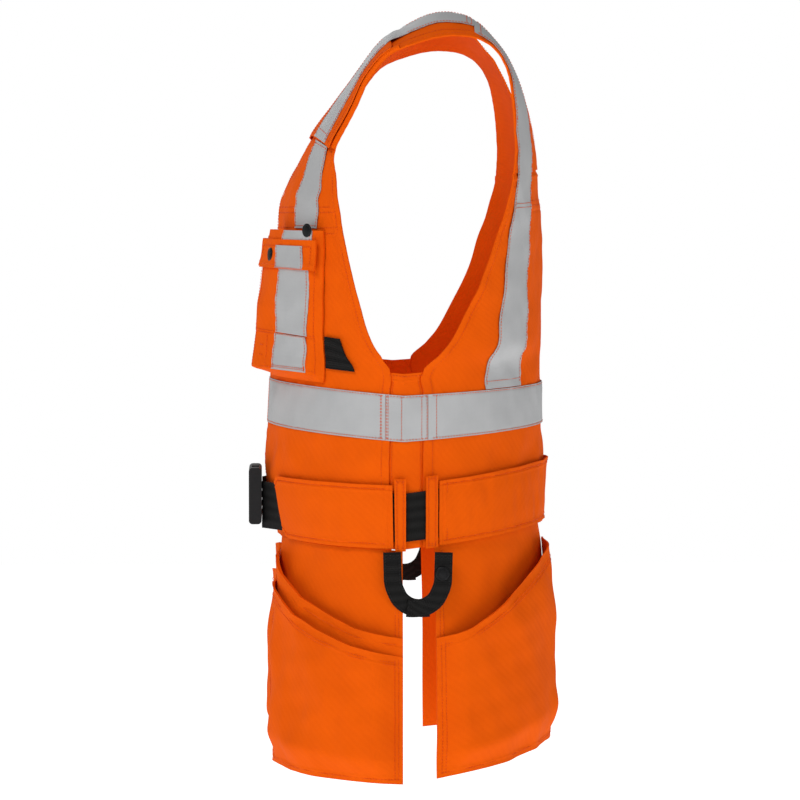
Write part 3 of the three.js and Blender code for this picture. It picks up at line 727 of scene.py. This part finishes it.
def makeTapes():
    def band(a, b):
        def point(u, v, lift):
            return roundWaist(mixed(2, 3, u), mixed(a, b, v), lift)
        return point

    frontBand = band(float(qAtX(3, 8)) - 1, sideSeamFront - 1.02)
    tape(both("waist_tape_front_cloth"), both("waist_tape_front"), frontBand)
    sideBand = band(sideSeamFront - 1.018, 1 - sideSeamBack + 0.018)
    tape(both("waist_tape_side_cloth"), both("waist_tape_side"), sideBand,
         ends=False)
    for v in (0.02, 0.06, 0.40, 0.86, 0.98):  # upright pairs of stitches at the side seams
        sew("vest", sideBand, (0.02, 0.98), v, tapes["stitch"])
    sewAcross("vest", frontBand, (0.02, 0.98), (0.025, 0.975), tapes["stitch"])

    backStrip = patch(shoulderTop + 1.012, lastRow - 3.024, waved(tapes["backInner"], 0.4, 0.8),
                      waved(tapes["backOuter"], 2.0, 0.8))
    tape(both("back_tape_cloth"), both("back_tape"), backStrip)
    sewAcross("vest", backStrip, (0.02, 0.98), (0.545, 0.555), onCloth + 0.8)

    step = tapes["step"]  # the shoulder tape comes down from the strap end onto the yoke
    stepEnd = (strapEndEnd + 0.4 - strapEndStart) / (shoulderTop + 1 - strapEndStart)

    def shoulderLow(s):
        return onCloth + (step + 0.6) * (1 - smooth(stepEnd - 0.05, stepEnd + 0.02, s.v))

    shoulder = patch(strapEndStart + 0.03, shoulderTop + 1, waved(tapes["inner"] + 2, 0.0, 0.6),
                     waved(tapes["inner"] + tapes["width"], 1.0, 0.6))
    tape(both("shoulder_tape_cloth"), both("shoulder_tape"), shoulder,
         low=shoulderLow)
    for edge in (0.04, 0.96):
        sew("vest", shoulder, edge, (0.01, stepEnd - 0.08), onCloth + step + 1.4)
        sew("vest", shoulder, edge, (stepEnd + 0.04, 0.99), tapes["stitch"])
    sew("vest", shoulder, (0.0, 1.0), 0.035, onCloth + step + 1.4)
    sewAcross("vest", shoulder, (0.0, 1.0), (0.955, 0.985), tapes["stitch"])

    chest = patch(frontPlace(pocket["top"]) + 0.06, strapEndStart - 0.03,
                  waved(tapes["inner"] + 1, 3.0), waved(tapes["inner"] + 44, 5.0))
    tape(both("chest_tape_cloth"), both("chest_tape"), chest)


def makeBackWaistTape():
    def point(u, v, lift):
        turn = mixed(-(sideSeamBack - 0.02), sideSeamBack - 0.02, v)
        return onVest(mixed(lastRow - 2, lastRow - 3, u), turn, lift)

    tape("waist_tape_back_cloth", "waist_tape_back", point)


# chest pockets
pocket = {"inner": 50, "outer": 153, "depth": 11, "wall": 1.5, "top": -206, "bottom": -364,
          "flapTop": -216, "flapBottom": -247, "layerStart": 0.46, "layerEnd": 0.475, "layer": 0.8,
          # how far the front side stands out, by the share of the pocket's height
          "heights": (0.0, 0.1, 0.35, 0.62, 0.75, 0.94, 1.0),
          "front": (26, 26, 25, 23.5, 19.5, 15.5, 13.5)}
pocketLow, pocketHigh = frontPlace(pocket["bottom"]), frontPlace(pocket["top"])


def pocketPoint(u, v, lift):
    place = mixed(pocketLow, pocketHigh, v)
    return onVest(place, qAtX(place, mixed(pocket["inner"], pocket["outer"], u)), lift)


def pocketRoom(u, v):
    sides = smooth(0, 0.10, u) * smooth(0, 0.12, 1 - u)
    bottom = smooth(0, 0.07, v)
    front = np.interp(v, pocket["heights"], pocket["front"])
    rear = pocket["depth"] * (1 - 0.45 * v)
    return onCloth + mixed(front, rear, smooth(0.05, 1.0, u)) * sides * bottom


def makeChestPocket():
    def shape(s):
        folds = 0.7 * waves(s.p, 51, 46) * smooth(0, 20, s.left) * smooth(0, 20, s.right)
        edge = hem(s.bottom, 8, 0.5) + 0.35 * (2 - smooth(6, 8, s.left) - smooth(6, 8, s.right))
        return np.maximum(folds, -0.6) + edge + secondLayer(s.v)

    def secondLayer(v):  # the pocket's upper part is doubled
        return pocket["layer"] * smooth(pocket["layerStart"], pocket["layerEnd"], v)

    cloth(both("chest_pocket_cloth"), "vest", [both("chest_pocket")], pocketPoint, cell=2.6,
          low=lambda s: pocketRoom(s.u, s.v), thick=pocket["wall"], shape=shape,
          uLines=(4, 8, -8, -4), vLines=(4, 8, 73))

    def onPocket(u, v, lift):
        u, v = together(u, v)
        return pocketPoint(u, v, pocketRoom(u, v) + pocket["wall"] + secondLayer(v) + lift)

    for edge in (0.06, 0.11):
        sew("vest", onPocket, edge, (0.06, 0.97), 0.35)
        sew("vest", onPocket, 1 - edge, (0.06, 0.97), 0.35)
    sewAcross("vest", onPocket, (0.05, 0.95), (0.05, 0.085, 0.458, 0.478, 0.95), 0.4)
    sew("vest", onPocket, 0.36, (0.1, 0.44), 0.4)
    for v in (0.2, 0.33):  # bar tacks of the pen pocket
        for offset in (0.0, 0.006):
            sew("vest", onPocket, (0.22, 0.30), v + offset, 0.4)

    start = (tapes["inner"] - 1 - pocket["inner"]) / (pocket["outer"] - pocket["inner"])
    end = start + tapes["width"] / (pocket["outer"] - pocket["inner"])
    foot = (frontPlace(pocket["flapBottom"]) - pocketLow) / (pocketHigh - pocketLow)

    def strip(low, high, shift):
        def point(u, v, lift):
            along = mixed(low, high, v)
            across = mixed(start + shift, end + shift, u) + 0.008 * np.sin(along * 19 + u)
            return onPocket(across, along, lift)
        return point

    lower, upper, brim = (strip(0.07, 0.465, 0.0), strip(0.475, foot + 0.03, 0.02),
                          strip(0.93, 0.999, 0.03))
    for name, node, point, lines in (
            ("pocket_tape_cloth", both("pocket_tape"), lower, (0.06, 0.10, 0.985)),
            ("pocket_tape_brim", None, brim, (0.25,)), ("pocket_tape_upper", None, upper, ())):
        tape(both(name), node, point, low=tapes["raised"], ends=False)
        sewAcross("vest", point, (0.0, 1.0), lines, 1.6)


flapLift = onCloth + pocket["wall"] + pocket["layer"]
flap = {"thick": 1.6, "off": 0.8, "under": 0.2, "stitch": 2.9, "tapeTop": 0.80}


def flapPoint(u, v, lift):
    place = mixed(frontPlace(pocket["flapBottom"]), frontPlace(pocket["flapTop"]), v)
    share = (place - pocketLow) / (pocketHigh - pocketLow)
    under = pocketRoom(mixed(0.12, 0.88, np.asarray(u, float)), share) - onCloth
    q = qAtX(place, mixed(pocket["inner"] - 2, pocket["outer"] - 2, u))
    return onVest(place, q, lift + under - flap["under"])


def makeFlap():
    body = both("flap")
    cloth(both("chest_flap_cloth"), body, [both("chest_flap")], flapPoint, cell=2.2,
          low=flapLift + flap["off"], thick=flap["thick"], uLines=(6, -6), vLines=(6, -6),
          shape=lambda s: hem(s.bottom, 6, 0.4) + hem(np.minimum(s.left, s.right), 6, 0.4)
          + 0.25 * waves(s.p, 55, 24) + 0.5 * smooth(12, 0, s.bottom))
    sewAcross(body, flapPoint, (0.04, 0.96), (0.12, 0.78), flapLift + flap["stitch"])
    sewUp(body, flapPoint, (0.05, 0.95), (0.1, 0.78), flapLift + flap["stitch"])
    start = (tapes["inner"] - 3 - pocket["inner"]) / (pocket["outer"] - pocket["inner"])

    def strip(u, v, lift):
        across = mixed(start, start + 0.41, u) + 0.012 * np.sin(np.asarray(v) * 4 + 1)
        return flapPoint(across, mixed(0.02, flap["tapeTop"], v), lift)

    tape(both("flap_tape"), None, strip, low=flapLift + flap["stitch"],
         ends=False, body=body)
    sew(body, strip, (0.0, 1.0), 0.03, flapLift + 3.8)


# pocket tabs and zip
tab = {"low": -348, "high": -312, "gap": 1.5, "rib": 2.6}
zipper = {"tape": 13, "coil": 1.15, "pitch": 2.4, "behind": -1.7}


def makeTabs():
    reach, topReach = (0.16, 0.1) if hand > 0 else (0.2, 0.2)

    def point(u, v, lift):
        place = mixed(frontPlace(tab["low"]), frontPlace(tab["high"]), v)
        begin = qAtX(place, pocket["outer"] + tab["gap"])
        return onVest(place, begin + u * mixed(reach, topReach, v), lift + 1.5 * u)

    cloth(both("pocket_tab_webbing"), "vest", [both("pocket_tab")], point, cell=0.9,
          material=blackWebbing, low=onCloth, thick=1.6,
          shape=lambda s: 0.28 * np.sin(s.bottom * 2 * math.pi / tab["rib"]))


def makeZip():
    def point(u, v, lift):
        place = np.clip(np.asarray(v, float) * neckPoint, 0.1, neckPoint - 0.15)
        return onVest(place, mixed(qAtX(place, 0.2), qAtX(place, zipper["tape"]), u), lift)

    def coil(s):
        bead = 1 - smooth(2.2, 2.8, s.left)
        return zipper["coil"] * bead * (0.82 + 0.18 * np.sin(s.bottom * 2 * math.pi / zipper["pitch"]))

    cloth(both("zip_half_cloth"), "vest", [both("zip_half")], point, cell=0.8, material=orangeBinding,
          low=zipper["behind"], thick=0.75, shape=coil)


# belt
belt = {"thick": 1.8, "low": 0.12, "high": 0.85, "rib": 2.3, "loop": 12, "tunnelFront": 78,
        "halfRound": 480, "puff": 1.1, "tail": 0.1, "endX": 38, "endY": -202}
tunnelLift = onCloth + belt["thick"] + 0.8
tunnelStart = float(qAtX(0.5, belt["tunnelFront"])) - 1
tunnelLines = (4.4, 7, -7, -4.4)


def tunnelShape(seed, phase):
    def shape(s):
        middle, ends = np.minimum(s.bottom, s.top), np.minimum(s.left, s.right)
        return (belt["puff"] * smooth(5, 22, middle) * smooth(0, 10, ends) + hem(middle, 7, 0.3, 0.8)
                + hem(ends, 7, 0.4, 0.5) + 0.5 * waves(s.p * np.array([1, 1, 0.4]), seed, 22)
                + pucker(middle, s.left, phase, 0.35))
    return shape


def makeBelt():

    def tunnelPoint(u, v, lift):
        corner = 0.10 * smooth(0.06, 0.0, u)
        return roundWaist(mixed(0.02 + corner, 1 - corner, v), mixed(tunnelStart, -0.05, u), lift)

    cloth(both("belt_tunnel_front_cloth"), "vest", [both("belt_tunnel_front")], tunnelPoint, cell=2.6,
          low=tunnelLift, shape=tunnelShape(61, 1.0), uLines=tunnelLines, vLines=tunnelLines)
    sewAcross("vest", tunnelPoint, (0.01, 0.99), (0.07, 0.93), tunnelLift + 1.5)
    sewUp("vest", tunnelPoint, (0.025, 0.975), (0.07, 0.93), tunnelLift + 1.6)

    def loopPoint(turn):
        half = belt["loop"] / belt["halfRound"]

        def point(u, v, lift):
            return roundWaist(mixed(-0.02, 1.12, v), mixed(turn - half, turn + half, u), lift)
        return point

    def loopShape(s):
        side = np.minimum(s.left, s.right)
        return (0.5 * np.exp(-(side / 2.5) ** 2) - 0.4 * np.exp(-((side - 2.6) / 0.7) ** 2)
                + 0.2 * waves(s.p, 63, 15))

    for part, turn in (("front", -0.016), ("rear", 0.118)):
        point = loopPoint(turn)
        cloth(both(f"belt_loop_{part}_cloth"), "vest", [both(f"belt_loop_{part}")], point, cell=2.2,
              low=tunnelLift + 0.3, thick=1.8, uLines=(2.4, -2.4), shape=loopShape)
        sewUp("vest", point, (0.2, 0.8), (0.02, 0.98), tunnelLift + 2.5)
        sewAcross("vest", point, (0.1, 0.9), (0.03, 0.06, 0.94, 0.97), tunnelLift + 2.6)


def makeBackTunnel():
    def point(u, v, lift):
        return onVest(mixed(lastRow, lastRow - 1, v), mixed(-0.85, 0.85, u), lift)

    cloth("belt_tunnel_back_cloth", "vest", ["belt_tunnel_back"], point, cell=3.0, low=tunnelLift,
          shape=tunnelShape(65, 2.0), uLines=tunnelLines, vLines=tunnelLines)
    sewAcross("vest", point, (0.01, 0.99), (0.07, 0.93), tunnelLift + 1.5)
    sewUp("vest", point, (0.02, 0.98), (0.07, 0.93), tunnelLift + 1.6)


def makeWebbing():  # once round the waist, its two ends drawn forward to the buckle
    tail = belt["tail"]

    def point(u, v, lift):
        u, v = together(u, v)
        run = np.abs(2 * u - 1)
        sign = np.where(u < 0.5, -1.0, 1.0)
        height = mixed(belt["low"], belt["high"], v)
        free = np.clip((run - (1 - tail)) / tail, 0, 1)
        turn = 1 - np.minimum(run, 1 - tail) / (1 - tail) * (1 - tunnelStart)
        place = roundWaist(height, turn, lift)
        endY = belt["endY"] + belt["thick"] + onCloth - lift
        end = np.stack([belt["endX"] + 0 * u, endY + 0 * u, place[..., 2]], -1)
        place = place + (end - place) * free[..., None]
        place[..., 0] *= sign
        return place

    cloth("belt_webbing_strap", "vest", ["belt_webbing"], point, cell=(0.58, 4.5),
          material=blackWebbing, low=onCloth, thick=1.5,
          shape=lambda s: 0.3 + 0.3 * np.sin(s.left * 2 * math.pi / belt["rib"])
          * smooth(0, 3, np.minimum(s.bottom, s.top)))


# hanging holsters
holster = {"depth": 15, "top": 0.0035, "wall": 1.5, "sag": 3.2, "slant": 1.5}
pocketLayers = {"inner": (0.72, 0.0), "outer": (1.0, 1.9)}  # share of the depth, and how far off
spans = {
    "front": (float(qAtX(0.3, 50)) - 1, -0.004),
    "back": (0.135, 1 - float(qAtX(0.3, 42)))}
mouths = {  # how far below the hem each pocket layer starts, by the place along Y
    "front": {
        "y": (-180, -175, -168, -150, -129, -98, -67, -46),
        "inner": (0.07, 0.085, 0.155, 0.235, 0.286, 0.342, 0.368, 0.38),
        "outer": (0.19, 0.20, 0.235, 0.315, 0.365, 0.415, 0.445, 0.46)},
    "back": {
        "y": (-12, 0, 13, 34, 61, 85, 97, 107),
        "inner": (0.385, 0.378, 0.362, 0.31, 0.228, 0.146, 0.09, 0.06),
        "outer": (0.395, 0.388, 0.372, 0.32, 0.238, 0.156, 0.10, 0.07)}}


def holsterRoom(u, v, deep):
    sides = smooth(0, 0.16, np.minimum(u, 1 - u))
    bottom = smooth(0, 0.2, v)
    return onCloth + deep * sides * bottom * mixed(1, 0.72, v)


def makeHolster(part):
    start, end = spans[part]
    body = both(f"{part}_holster")
    mouth = mouths[part]

    def backing(u, v, lift):
        return onSkirt(mixed(1, holster["top"], v), mixed(start, end, u), lift)

    sideSeam = (lambda s: s.right) if part == "front" else (lambda s: s.left)
    cloth(both(f"holster_{part}_cloth"), body, [both(f"holster_{part}")], backing, cell=3.4,
          uLines=(6, -6), vLines=(6,),
          shape=lambda s: hem(sideSeam(s), 8, 0.7) + hem(s.bottom, 7, 0.5) + 0.4 * waves(s.p, 71, 30))
    near = 0.955 if part == "front" else 0.045
    sew(body, backing, near, (0.02, 0.98), 2.3)
    sew(body, backing, near + (0.02 if part == "front" else -0.02), (0.02, 0.98), 2.3)

    for layerName in ("inner", "outer") if part == "front" else ("outer",):
        deep, off = pocketLayers[layerName]
        visible = layerName == "outer"

        def point(u, v, lift):
            u, v = together(u, v)
            turn = mixed(start, end, u)
            y = bareSkirt(0.2, turn)[..., 1]
            top = np.interp(y, mouth["y"], mouth[layerName])
            return onSkirt(mixed(0.995, top, v), turn, lift)

        def low(u, v):
            room = holsterRoom(u, v, holster["depth"] * deep)
            room = room + off * smooth(0, 0.12, np.minimum(u, 1 - u))
            sag = holster["sag"] * smooth(0.45, 1.0, v) * np.sin(math.pi * np.clip(u, 0, 1)) ** 2
            return room + sag if visible else room

        def shape(s):
            inside = smooth(0, 26, s.left) * smooth(0, 26, s.right)
            lean = s.p[..., 0] * 0.35 - s.p[..., 1] * 0.75 + s.p[..., 2] * 0.62
            slant = np.sin(lean / 11.5 + 1.1 * waves(s.p, 73, 80)) * smooth(60, 5, s.top)
            soft = 1.3 * waves(s.p, 75 + (part == "back"), 62) + 0.5 * waves(s.p, 77, 28)
            lip = 0.9 * np.exp(-s.top / 3.0) + hem(s.top, 11, 0.45, 0.5)
            return (soft + holster["slant"] * slant) * inside + lip + hem(s.bottom, 7, 0.4) + pucker(
                np.minimum(s.left, s.right), s.bottom, 3.0, 0.35)

        cloth(both(f"holster_pocket_{part}_{layerName}"), body,
              [both(f"holster_pocket_{part}")] if visible else [], point, cell=2.9,
              low=lambda s: low(s.u, s.v), thick=holster["wall"], shape=shape, uLines=(6, -6),
              vLines=(7, -3, -11))

        def onPocket(u, v, lift):
            u, v = together(u, v)
            return point(u, v, low(u, v) + lift)

        sewAcross(body, onPocket, (0.04, 0.96), (0.945, 0.925) if visible else (0.95,), 2.0)
        if visible:
            sew(body, onPocket, (0.02, 0.98), 0.028, 2.0)
            for u in (0.025, 0.045):
                sew(body, onPocket, u, (0.02, 0.97), 1.9)
                sew(body, onPocket, 1 - u, (0.02, 0.97), 1.9)


# hammer loops
loops = {"width": 19, "front": -73, "rear": 1, "x": 195.4, "hem": -545.35, "rib": 2.3, "soft": 5.0,
         "curl": 0.36}


def makeHammerLoop():
    body = both("tool_loop")
    middle = (loops["front"] + loops["rear"]) / 2
    reach = (loops["rear"] - loops["front"]) / 2 - loops["width"] / 2
    bend = ((0, 0), (-1, -36), (-8, -52), (-19, -60), (-reach - 6, -61.5), (-reach - 13, -60.5))

    def strapMap(sign, out):
        corners = [(sign * (reach + inward), down) for inward, down in bend]
        ys, zs = np.array([c[0] for c in corners]), np.array([c[1] for c in corners])
        run = np.insert(np.cumsum(np.hypot(np.diff(ys), np.diff(zs))), 0, 0)

        def centre(t):
            s = np.asarray(t, float) * run[-1]
            near = [np.clip(s + share * loops["soft"], 0, run[-1]) for share in (-1, -0.5, 0, 0.5, 1)]
            return [sum(np.interp(at, run, values) for at in near) / len(near) for values in (ys, zs)]

        def point(u, v, lift):
            u, v = together(u, v)
            y0, z0 = centre(np.clip(v - 0.01, 0, 1))
            y1, z1 = centre(np.clip(v + 0.01, 0, 1))
            wayY, wayZ = y1 - y0, z1 - z0
            size = np.hypot(wayY, wayZ)
            y, z = centre(v)
            off = (u - 0.5) * loops["width"]
            x = loops["x"] + out + lift + loops["curl"] * np.sin(v * 5 + (1 if sign > 0 else 2.4))
            return np.stack([x, middle + y - wayZ / size * off, loops["hem"] + z + wayY / size * off], -1)
        return point

    for part, sign, out in (("front", -1, -0.9), ("rear", 1, 1.3)):
        point = strapMap(sign, out)
        cloth(both(f"hammer_strap_{part}"), body, [both("hammer_loop")] if sign > 0 else [], point,
              cell=(2.2, 0.62), material=blackWebbing, low=0.0, thick=1.6,
              shape=lambda s: 0.26 * np.sin(s.bottom * 2 * math.pi / loops["rib"])
              * smooth(0, 2, np.minimum(s.left, s.right)))
        sewUp(body, point, (0.12, 0.88), (0.03, 0.97), 1.9, "black")
        sewAcross(body, point, (0.08, 0.92), (0.05, 0.09, 0.93, 0.97), 1.95, "black")


# press studs
stud = {"radius": 7.4, "capFoot": 0.6, "postFoot": 1.0, "tabOut": 1.6, "out": 0.6}


def spun(name, profile, centre, direction, material, body, turns=40):
    x, z = profile[0]
    bpy.ops.object.select_all(action="DESELECT")
    bpy.ops.mesh.primitive_circle_add(vertices=turns, radius=x * 0.001, fill_type="NGON")
    piece = bpy.context.object
    piece.name = name
    bpy.ops.object.mode_set(mode="EDIT")
    bpy.ops.mesh.select_all(action="SELECT")
    bpy.ops.transform.translate(value=(0, 0, z * 0.001))
    for nextX, nextZ in profile[1:]:
        bpy.ops.mesh.extrude_region_move(TRANSFORM_OT_translate={"value": (0, 0, (nextZ - z) * 0.001)})
        share = nextX / x
        bpy.ops.transform.resize(value=(share, share, 1), center_override=(0, 0, 0))
        x, z = nextX, nextZ
    bpy.ops.mesh.select_all(action="SELECT")
    bpy.ops.mesh.normals_make_consistent(inside=False)
    bpy.ops.object.mode_set(mode="OBJECT")
    turn = Vector((0, 0, 1)).rotation_difference(Vector(direction)).to_matrix().to_4x4()
    piece.data.transform(turn)
    piece.data.transform(Matrix.Translation(Vector(centre) * 0.001))
    piece.data.materials.append(material)
    bpy.ops.object.shade_smooth_by_angle(angle=math.radians(35))
    piece.select_set(False)
    attach(piece, body)
    return piece


def nodeMiddle(name):
    low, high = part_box(name)
    return np.array([(a + b) / 2 * 1000 for a, b in zip(low, high)])


def makeStuds():
    r = stud["radius"]
    cap = [(r * 0.55, -0.9), (r * 0.9, -0.8), (r, -0.2), (r, 0.7), (r * 0.97, 1.1), (r * 0.86, 1.5),
           (r * 0.82, 1.5), (r * 0.78, 1.25), (r * 0.62, 1.3), (r * 0.58, 1.75), (r * 0.4, 1.95),
           (0.6, 2.05)]
    post = [(4.6, -2.8), (4.6, -2.2), (3.2, -1.9), (3.0, -0.6), (3.4, 0.2)]
    onTop = both("pocket_snap")
    for node, body, direction in (
            (both("flap_snap"), both("flap"), studFacing("flap")), (onTop, "vest", studFacing("pocket")),
            (both("loop_snap"), both("tool_loop"), np.array([hand, 0, 0]))):
        centre = nodeMiddle(node)
        direction = direction / np.linalg.norm(direction)
        lifted = stud["tabOut"] if node == onTop else stud["out"]
        capAt, postAt = (centre + direction * (lifted - stud[foot]) for foot in ("capFoot", "postFoot"))
        made = spun(f"{node}_cap", cap, capAt, direction, snapMetal, body)
        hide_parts(node)
        spun(f"{node}_post", post, postAt, direction, stemMetal, body, 28)


def studFacing(where):
    mirror = np.array([hand, 1, 1])
    if where == "flap":
        a, b = flapPoint(0.3, 0.45, flapLift), flapPoint(0.3, 0.45, flapLift + 5)
    else:
        a, b = pocketPoint(0.9, 1.0, 0.0), pocketPoint(0.9, 1.0, 5.0)
    return (b - a) * mirror


# build everything
makeBack()
makeBackWaistTape()
makeBackTunnel()
makeWebbing()
for hand in (1.0, -1.0):
    makePanels()
    makeStrapEnd()
    makeTapes()
    makeChestPocket()
    makeFlap()
    makeTabs()
    makeZip()
    makeBelt()
    makeHolster("front")
    makeHolster("back")
    makeHammerLoop()
    makeStuds()
    print("side done:", both("vest"))
hand = 1.0
sewingDone()
print("stitches sewn")

for material, names in (
        (blackPlastic, ("buckle_socket", "buckle_plug", "buckle_prong_upper", "buckle_prong_lower")),
        (snapMetal, ("zip_slider", "zip_pull"))):
    for name in names:
        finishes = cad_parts[name].data.materials
        finishes.clear()
        finishes.append(material)

# stage, light and camera
stage = {"floor": -1.25, "size": 14, "far": 4.0, "azimuth": 88.1, "lens": 162, "ambient": 0.27}
bpy.ops.object.select_all(action="DESELECT")
bpy.ops.mesh.primitive_plane_add(size=stage["size"], location=(0, 0, stage["floor"]))
floor = bpy.context.object
floor.name = "floor"
floorPaint = Paint("paleFloor")
floor.data.materials.append(floorPaint.finish(
    Base_Color=(0.92, 0.92, 0.92, 1), Roughness=0.9, Emission_Color=(1, 1, 1, 1), Emission_Strength=0.86))

world = bpy.data.worlds.new("softWhite")
bpy.context.scene.world = world
world.use_nodes = True
sky = world.node_tree.nodes["Background"]
sky.inputs["Color"].default_value = (1, 1, 1, 1)
seen = world.node_tree.nodes.new("ShaderNodeLightPath")  # white where it is seen, dimmer as a light
level = world.node_tree.nodes.new("ShaderNodeMapRange")
level.inputs["To Min"].default_value, level.inputs["To Max"].default_value = stage["ambient"], 1.0
world.node_tree.links.new(seen.outputs["Is Camera Ray"], level.inputs["Value"])
world.node_tree.links.new(level.outputs["Result"], sky.inputs["Strength"])


def lamp(name, place, size, power):
    light = bpy.data.lights.new(name, "AREA")
    light.energy, light.size = power, size
    made = bpy.data.objects.new(name, light)
    made.location = place
    made.rotation_euler = (Vector((0, 0, -0.4)) - Vector(place)).to_track_quat("-Z", "Y").to_euler()
    bpy.context.scene.collection.objects.link(made)


lamp("keyLamp", (2.6, -1.9, 2.3), 1.4, 62)
lamp("fillLamp", (2.6, 2.2, 1.2), 1.8, 20)
lamp("rimLamp", (-2.6, -1.2, 1.4), 2.0, 14)

angle = math.radians(stage["azimuth"])
aim = Vector((0, -0.0485, -0.395))
view = bpy.data.cameras.new("view")
view.lens = stage["lens"]
camera = bpy.data.objects.new("view", view)
camera.location = (math.sin(angle) * stage["far"], aim.y - math.cos(angle) * stage["far"], -0.195)
camera.rotation_euler = (aim - camera.location).to_track_quat("-Z", "Y").to_euler()
bpy.context.scene.collection.objects.link(camera)
bpy.context.scene.camera = camera
bpy.context.scene.view_settings.view_transform = "Standard"
